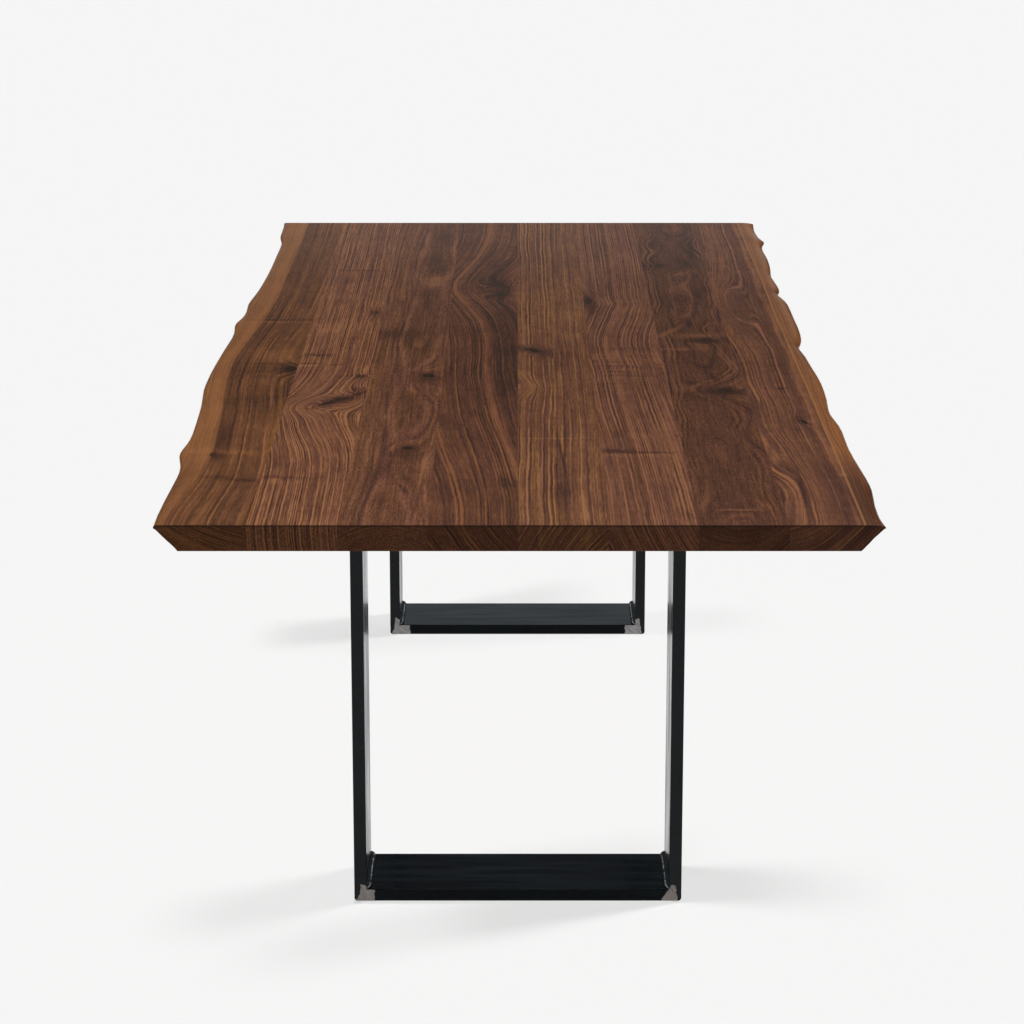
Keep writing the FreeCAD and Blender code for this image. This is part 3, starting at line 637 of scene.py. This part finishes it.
def edge_stave(name, side):
    """A stave from its seam to its natural edge, with the fluting and dents of wood from under the bark."""
    low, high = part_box(name)
    points = np.array([vertex.co for vertex in nodes[name].data.vertices])
    on_nose = points[np.abs(points[:, 2] - (high.z - NOSE_DROP)) < NOSE_TOLERANCE]
    outer = on_nose[np.abs(on_nose[:, 0]) > NATURAL_EDGE_FROM]
    outer = outer[np.argsort(outer[:, 1])]
    seam = abs(high.x if side < 0 else low.x)
    lengths = np.linspace(low.y, high.y, EDGE_STATIONS)
    lengths = np.concatenate([[low.y], [low.y + END_EASE], lengths[1:-1], [high.y - END_EASE], [high.y]])
    reach = np.interp(lengths, outer[:, 1], np.abs(outer[:, 0]))
    sections = []
    for length, tip in zip(lengths, reach):
        eased = END_EASE if length in (low.y, high.y) else 0.0
        roll = max(ROLL, tip - ROUNDED_FROM) if side > 0 else ROLL
        from_end = min(length - low.y, high.y - length)
        rounding = min(1.0, from_end / ROUNDED_AFTER) if side > 0 else 0.0
        drop = NOSE_DROP + rounding * (ROUNDED_NOSE_DROP - NOSE_DROP)
        top = high.z - eased
        section = []
        for share in np.linspace(0, 1, TOP_POINTS):
            section.append((seam + share * (tip - roll - seam), top))
        for angle in np.linspace(ROLL_START, 1.0, ROLL_POINTS) * math.pi / 2:
            section.append((tip - roll + roll * math.sin(angle), top - drop * (1 - math.cos(angle))))
        for share in np.linspace(0, 1, FACE_POINTS)[1:]:
            down = drop + share * (high.z - low.z - drop)
            flute = noise.noise(Vector((share * FLUTES_DOWN, length * FLUTES_ALONG, side * FLUTE_SEED)))
            dent = noise.noise(Vector((share * DENTS_DOWN, length * DENTS_ALONG, side * DENT_SEED)))
            hollow = max(0.0, 0.5 + 0.5 * flute + 0.3 * dent)
            sunk = FLUTE_DEPTH * hollow * math.sin(math.pi * share) ** 0.6
            section.append((tip - share * UNDERCUT - sunk, high.z - down + (eased if share == 1 else 0.0)))
        section.append((seam, low.z + eased))
        sections.append([(side * across, length, height) for across, height in section])
    points = [point for section in sections for point in section]
    faces = skin(0, len(sections), len(sections[0]), flipped=side > 0)
    piece = smooth_object(f"natural_{name}", points, faces, EDGE_CREASE)
    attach(piece, "root")
    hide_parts(name)
    return piece


for number, side in ((1, -1), (8, 1)):
    edge_stave(f"stave_{number}", side).data.materials.append(walnut_by_stave[number])

# The two frames: flat hot-rolled bar with mitred lower corners, welded, blackened and lacquered. The welds
# on the faces are ground flush, which leaves a patch of bare bright steel at each lower corner.
FRAMES = ("near", "far")
frame_half_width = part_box("near_floor_bar")[1].x
bar_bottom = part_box("near_floor_bar")[0].z
frame_middle = {name: sum(corner.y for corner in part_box(f"{name}_floor_bar")) / 2 for name in FRAMES}
ROLLED_RATES = (5.0, 60.0, 5.0)
FINE_RATES = (90.0, 240.0, 90.0)
SCALE_RELIEF = 0.00002
UPRIGHT_GLOSS = 0.15
UPRIGHT_DULLNESS = 1.5
FLOOR_BAR_GLOSS = 0.04
FLOOR_BAR_DULLNESS = 1.0
PATCH_PEAK = 0.034
PATCH_PEAK_INWARD = 0.011
PATCH_SLOPE = 0.8
NEAR_RIGHT_STEEPER = 0.9
FAR_STEEPER = -0.3
PATCH_HEIGHT = 0.027
FAR_TALLER = 0.007
PATCH_WIDTH = 0.031
FAR_WIDER = 0.008
PATCH_MARGIN = 0.0035
PATCH_MARGIN_LEAN = 0.2
PATCH_RAGGED = 0.008
PATCH_BLUR = 0.0006

# The skin that hot rolling leaves on steel: streaks along the bar, and a fine grain
scale_group, wires = new_group(
    "mill_scale", {"Place": "Vector"}, {"Colour": "Color", "Roughness": "Float", "Height": "Float"}
)


def stretch(place, rates):
    """A place with each of its numbers times its own rate."""
    return put(place.tree, "ShaderNodeVectorMath", place, rates, operation="MULTIPLY")[0]


broad = cloud(stretch(wires["Place"], ROLLED_RATES), detail=4.0, roughness=0.6)
fine = cloud(stretch(wires["Place"], FINE_RATES), detail=3.0, roughness=0.6)
scale_tone = ramp(broad, 0.3, 0.7) * 0.6 + ramp(fine, 0.3, 0.7) * 0.4
scale_colour = mix(scale_tone, screen(13, 17, 19), screen(23, 29, 33))
scale_roughness = ramp(broad, 0.35, 0.65) * 0.14 + fine * 0.06 + 0.05
put(scale_group, "NodeGroupOutput", scale_colour, scale_roughness, fine)


def black_steel(name, gloss, dullness):
    """Lacquered black bar, bare where the welds of the lower corners are ground flush."""
    material, shader = new_material(name, Specular_IOR_Level=gloss)
    tree = material.node_tree
    x, y, z = spot(tree)
    colour, roughness, height = put(tree, "ShaderNodeGroup", join(x, y, z), node_tree=scale_group)
    facing_along = facing(tree)[1].maths("ABSOLUTE")
    wobble = cloud(join(x * 110.0, y * 5.0, z * 110.0)) - 0.5
    inward = x.maths("ABSOLUTE") * -1.0 + frame_half_width
    upward = z - bar_bottom
    far_share = ramp(y, -0.1, 0.1)
    near_right_share = ramp(x, -0.1, 0.1) * (far_share * -1.0 + 1.0)
    slope = far_share * FAR_STEEPER + near_right_share * NEAR_RIGHT_STEEPER + PATCH_SLOPE
    peak = (inward - PATCH_PEAK_INWARD).maths("ABSOLUTE") * slope * -1.0 + PATCH_PEAK
    past_top = upward - peak.maths("MINIMUM", far_share * FAR_TALLER + PATCH_HEIGHT)
    past_inner = inward - (far_share * FAR_WIDER + PATCH_WIDTH)
    past_outer = upward * PATCH_MARGIN_LEAN + PATCH_MARGIN - inward
    past_edge = past_top.maths("MAXIMUM", past_inner).maths("MAXIMUM", past_outer) + wobble * PATCH_RAGGED
    ground = ramp(past_edge, -PATCH_BLUR, PATCH_BLUR, 1.0, 0.0) * ramp(facing_along, 0.8, 0.95)
    scratch = cloud(join((x + z) * 900.0, y, (x - z) * 60.0))
    dull_bare = mix(far_share, screen(118, 112, 108), screen(128, 126, 126))
    bright_bare = mix(far_share, screen(160, 153, 148), screen(178, 176, 176))
    bare = mix(ramp(scratch, 0.3, 0.7), dull_bare, bright_bare)
    colour = mix(ground, colour, bare)
    roughness = roughness * dullness + ground * 0.3
    dress(material, shader, colour, roughness, height, SCALE_RELIEF, metallic=ground * 0.5)
    return material


upright_steel = black_steel("black_steel_upright", UPRIGHT_GLOSS, UPRIGHT_DULLNESS)
floor_bar_steel = black_steel("black_steel_floor_bar", FLOOR_BAR_GLOSS, FLOOR_BAR_DULLNESS)
for frame_name in FRAMES:
    for part in ("left_upright", "right_upright", "top_plate"):
        paint(upright_steel, f"{frame_name}_{part}")
    paint(floor_bar_steel, f"{frame_name}_floor_bar")

# The weld beads: one run of weld along each inner corner of a frame, laid as a row of overlapping ripples
# and blackened with the bars. A painted highlight runs along their crests, broken here and there.
BEAD_STATIONS = 180
BEAD_POINTS = 13
BEAD_LEG = 0.008
BEAD_END = 0.004
BEAD_END_LIP = 0.0004
BEAD_SWELL = 0.05
BEAD_CREASE = math.radians(50)
BEAD_RELIEF = 0.0003
RIPPLE_PITCH = 0.0062
RIPPLE_DEPTH = 0.13
RIPPLE_BOW = 0.0022
RIPPLE_UNEVEN = 0.0012
CREST_FROM = 0.0004
CREST_TO = 0.0020


def weld_beads(frame_name):
    """The four beads of a frame as one piece, each swelling and sinking from ripple to ripple."""
    low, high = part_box(f"{frame_name}_weld_beads")
    points = []
    faces = []
    corners = [(side, up) for side in (-1, 1) for up in (-1, 1)]
    for side, up in corners:
        corner_x = side * high.x
        corner_z = low.z if up < 0 else high.z
        start = len(points)
        for row in range(BEAD_STATIONS):
            share = row / (BEAD_STATIONS - 1)
            length = low.y + share * (high.y - low.y)
            to_end = min(length - low.y, high.y - length)
            closing = math.sqrt(min(1.0, (to_end + BEAD_END_LIP) / BEAD_END))
            drift = RIPPLE_UNEVEN * noise.noise(Vector((length * 60.0, corner_x * 9.0, corner_z * 5.0)))
            for column in range(BEAD_POINTS):
                turn = column / (BEAD_POINTS - 1)
                crown = math.sin(math.pi * turn)
                phase = ((length + RIPPLE_BOW * crown + drift) / RIPPLE_PITCH) % 1.0
                ripple = RIPPLE_DEPTH * (1 - math.sin(math.pi * phase) ** 0.7)
                lump = noise.noise(Vector((length * 40.0, turn * 3.0, corner_x * 3.0 + corner_z)))
                swell = BEAD_SWELL * (1 + lump)
                reach = BEAD_LEG * closing * (1 - ripple * crown - swell)
                angle = turn * math.pi / 2
                across = corner_x - side * reach * math.cos(angle)
                points.append((across, length, corner_z - up * reach * math.sin(angle)))
            points.append((corner_x, length, corner_z))
        faces += skin(start, BEAD_STATIONS, BEAD_POINTS + 1, flipped=side * up < 0)
    piece = smooth_object(f"{frame_name}_rippled_beads", points, faces, BEAD_CREASE)
    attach(piece, "root")
    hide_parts(f"{frame_name}_weld_beads")
    return piece


bead_metal, shader = new_material("weld_bead", Specular_IOR_Level=0.12)
tree = bead_metal.node_tree
x, y, z = spot(tree)
colour, roughness, height = put(tree, "ShaderNodeGroup", join(x, y, z), node_tree=scale_group)
bead_low, bead_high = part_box("near_weld_beads")
from_upright = x.maths("ABSOLUTE") * -1.0 + bead_high.x
from_bar = (z - bead_low.z).maths("MINIMUM", z * -1.0 + bead_high.z)
from_crest = (from_upright - from_bar).maths("ABSOLUTE")
dashes = cloud(join(x * 20.0, y * 110.0, z * 20.0))
# Painted highlight: a bright line along the crest of each bead, broken into dashes.
painted_crest_highlight = ramp(from_crest, CREST_FROM, CREST_TO, 1.0, 0.0) * ramp(dashes, 0.42, 0.54)
bead_colour = mix(painted_crest_highlight, colour, screen(166, 168, 168))
dress(bead_metal, shader, bead_colour, roughness + 0.25, height, BEAD_RELIEF)
for frame_name in FRAMES:
    weld_beads(frame_name).data.materials.append(bead_metal)

# Bolts and washers: zinc-plated button heads with a hexagon socket, over large washers that slide on the
# plate as the wood swells and shrinks.
PLATING_RELIEF = 0.00003
plated, shader = new_material("zinc_plate", Specular_IOR_Level=0.5)
x, y, z = spot(plated.node_tree)
bloom = cloud(join(x * 400.0, y * 400.0, z * 400.0), detail=3.0)
zinc = mix(ramp(bloom, 0.3, 0.7), screen(150, 152, 154), screen(196, 198, 198))
dress(plated, shader, zinc, bloom * 0.25 + 0.22, bloom, PLATING_RELIEF, metallic=bloom * 0.2 + 0.85)
for frame_name in FRAMES:
    paint(plated, f"{frame_name}_bolts", f"{frame_name}_washers")

# Threaded inserts: turned brass sleeves, screwed into holes that are bored in the underside of the staves.
# They take the bolts, so that no thread is cut in the wood.
BRASS_RELIEF = 0.00003
brass, shader = new_material("insert_brass", Specular_IOR_Level=0.5)
x, y, z = spot(brass.node_tree)
tarnish = cloud(join(x * 300.0, y * 300.0, z * 900.0), detail=3.0)
sleeve = mix(ramp(tarnish, 0.3, 0.7), screen(134, 104, 48), screen(196, 164, 92))
dress(brass, shader, sleeve, tarnish * 0.3 + 0.2, tarnish, BRASS_RELIEF, metallic=tarnish * 0.2 + 0.85)
for frame_name in FRAMES:
    paint(brass, f"{frame_name}_threaded_inserts")

# Glides: thin pads of black nylon fixed under the floor bars, so that no bare steel stands on the floor,
# which scuffs them grey.
GLIDE_RELIEF = 0.00005
nylon, shader = new_material("glide_nylon", Specular_IOR_Level=0.4)
x, y, z = spot(nylon.node_tree)
scuff = cloud(join(x * 500.0, y * 500.0, z * 500.0), detail=4.0)
pad = mix(ramp(scuff, 0.35, 0.75), screen(20, 20, 21), screen(52, 52, 53))
dress(nylon, shader, pad, scuff * 0.3 + 0.4, scuff, GLIDE_RELIEF)
for frame_name in FRAMES:
    paint(nylon, f"{frame_name}_glides")

# The studio: a pale floor that glows a little, two soft boxes over the ends of the table and a low strip
# behind it. A small light under each end of the top picks out the floor bars, and far lights that reach
# only the floor lay the shadows of the frames on it.
FLOOR_HALF = 40.0
FLOOR_GREY = (0.5, 0.5, 0.5, 1)
FLOOR_GLOW = (0.017, 0.017, 0.017, 1)
WHITE = (1.0, 1.0, 1.0)
COOL = (0.86, 0.96, 1.0)
UNDER_TOP = 0.66
floor_sides = ((-1, -1), (1, -1), (1, 1), (-1, 1))
floor_mesh = bpy.data.meshes.new("studio_floor")
floor_mesh.from_pydata([(x * FLOOR_HALF, y * FLOOR_HALF, 0) for x, y in floor_sides], [], [(0, 1, 2, 3)])
floor = bpy.data.objects.new("studio_floor", floor_mesh)
bpy.context.scene.collection.objects.link(floor)
floor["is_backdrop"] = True
floor_paint, _ = new_material(
    "studio_floor", Base_Color=FLOOR_GREY, Roughness=0.9, Specular_IOR_Level=0.0,
    Emission_Color=FLOOR_GLOW, Emission_Strength=1.0,
)
floor_mesh.materials.append(floor_paint)


def gather(name, pieces):
    """A collection of the things that one light reaches, or is stopped by."""
    collection = bpy.data.collections.new(name)
    for piece in pieces:
        collection.objects.link(piece)
    return collection


def soft_light(name, place, aim, size, power, lit, colour=WHITE):
    """A soft box at a place, aimed at a point, that lights one group of things."""
    lamp = bpy.data.lights.new(name, "AREA")
    lamp.shape = "RECTANGLE"
    lamp.size, lamp.size_y = size
    lamp.energy = power
    lamp.color = colour
    light = bpy.data.objects.new(name, lamp)
    light.location = place
    light.rotation_euler = (Vector(aim) - Vector(place)).to_track_quat("-Z", "Y").to_euler()
    light.visible_camera = False
    light.light_linking.receiver_collection = lit
    bpy.context.scene.collection.objects.link(light)


def shadow_light(name, bearing, rise, strength, softness, *blocking):
    """A far light, its angles in degrees, that lays the shadows of some pieces on the floor."""
    lamp = bpy.data.lights.new(name, "SUN")
    lamp.energy = strength
    lamp.angle = math.radians(softness)
    light = bpy.data.objects.new(name, lamp)
    level_part = math.cos(math.radians(rise))
    source = Vector((
        math.cos(math.radians(bearing)) * level_part,
        math.sin(math.radians(bearing)) * level_part,
        math.sin(math.radians(rise)),
    ))
    light.rotation_euler = source.to_track_quat("Z", "Y").to_euler()
    blockers = gather(f"{name}_blockers", [nodes[piece] for piece in blocking])
    light.light_linking.receiver_collection = floor_only
    light.light_linking.blocker_collection = blockers
    bpy.context.scene.collection.objects.link(light)


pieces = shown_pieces()
table_pieces = gather("table_pieces", pieces)
frame_pieces = gather("frame_pieces", [piece for piece in pieces if "stave" not in piece.name])
floor_only = gather("floor_only", [floor])
soft_light("over_near_end", (0.0, -2.2, 4.0), (0.0, -1.1, TABLE_SURFACE), (3.0, 1.4), 130.0, table_pieces)
soft_light("over_far_end", (0.0, 2.4, 2.6), (0.0, 1.3, TABLE_SURFACE), (3.0, 0.8), 40.0, table_pieces)
far_frame = (0.0, frame_middle["far"], 0.0)
soft_light("behind_frames", (0.0, 4.0, 1.0), far_frame, (5.0, 0.5), 3.5, frame_pieces, COOL)
for frame_name, middle in frame_middle.items():
    low_names = (f"{frame_name}_floor_bar", f"{frame_name}_rippled_beads")
    low_pieces = gather(f"{frame_name}_low_pieces", [piece for piece in pieces if piece.name in low_names])
    place = (0.0, middle, UNDER_TOP)
    aim = (0.0, middle, 0.0)
    soft_light(f"under_{frame_name}_end", place, aim, (0.45, 0.2), 4.0, low_pieces, COOL)
shadow_light("near_left_shadow", 31, 66, 0.75, 11, "near_left_upright")
shadow_light("near_front_shadow", 25, 45, 0.80, 9, "near_right_upright", "near_floor_bar")
shadow_light("near_front_core", 27, 62, 0.70, 9, "near_right_upright", "near_floor_bar")
shadow_light("near_right_shadow", 176, 68, 0.60, 12, "near_right_upright")
shadow_light("near_right_core", 176, 77, 0.50, 10, "near_right_upright")
shadow_light("near_back_shadow", 196, 53, 0.55, 9, "near_left_upright")
shadow_light("far_left_shadow", 20, 70, 0.95, 8, "far_left_upright")
shadow_light("far_front_shadow", 11, 48, 0.55, 9, "far_right_upright", "far_floor_bar")
shadow_light("far_right_shadow", 192, 72, 0.33, 10, "far_right_upright")
shadow_light("far_back_shadow", 213, 58, 0.80, 9, "far_left_upright")

# The backdrop: pale where it is seen. What the table mirrors of it is a soft band low down and a faint one
# higher up, and neither reaches far to the sides.
BACKDROP = (0.92, 0.92, 0.92, 1)
LOW_BAND = (0.156, 0.182, 0.33, 0.01)
HIGH_BAND_START = (0.205, 0.225, 0.0, 0.10)
HIGH_BAND_END = (0.28, 0.32, 1.0, 0.0)
BAND_SIDES = (0.14, 0.20, 1.0, 0.0)
world = bpy.data.worlds.new("studio_world")
world.use_nodes = True
bpy.context.scene.world = world
tree = world.node_tree
direction = put(tree, "ShaderNodeTexCoord")[0]
sideways, _, rise = put(tree, "ShaderNodeSeparateXYZ", direction)
bands = ramp(rise, *LOW_BAND) + ramp(rise, *HIGH_BAND_START) * ramp(rise, *HIGH_BAND_END)
glow = bands * ramp(sideways.maths("ABSOLUTE"), *BAND_SIDES)
glow_colour = put(tree, "ShaderNodeCombineColor", glow, glow, glow)[0]
seen = put(tree, "ShaderNodeLightPath")[0]
backdrop = mix(seen, glow_colour, BACKDROP)
tree.links.new(backdrop.socket, tree.nodes["Background"].inputs["Color"])

# The camera: a long lens in front of one end and above the table, where the photograph was taken from. The
# small shift sets the table where it stands in the photograph.
LENS = 110.0
SENSOR_WIDTH = 36.0
FRAMING_SHIFT = -0.00411
CAMERA_PLACE = (-0.00266, -5.49976, 1.85672)
LOOKING_DOWN = 14.5258
camera_data = bpy.data.cameras.new("camera")
camera_data.lens = LENS
camera_data.sensor_width = SENSOR_WIDTH
camera_data.shift_x = FRAMING_SHIFT
camera = bpy.data.objects.new("camera", camera_data)
camera.location = CAMERA_PLACE
camera.rotation_euler = (math.radians(90 - LOOKING_DOWN), 0, 0)
bpy.context.scene.collection.objects.link(camera)
bpy.context.scene.camera = camera
bpy.context.scene.view_settings.view_transform = "Standard"
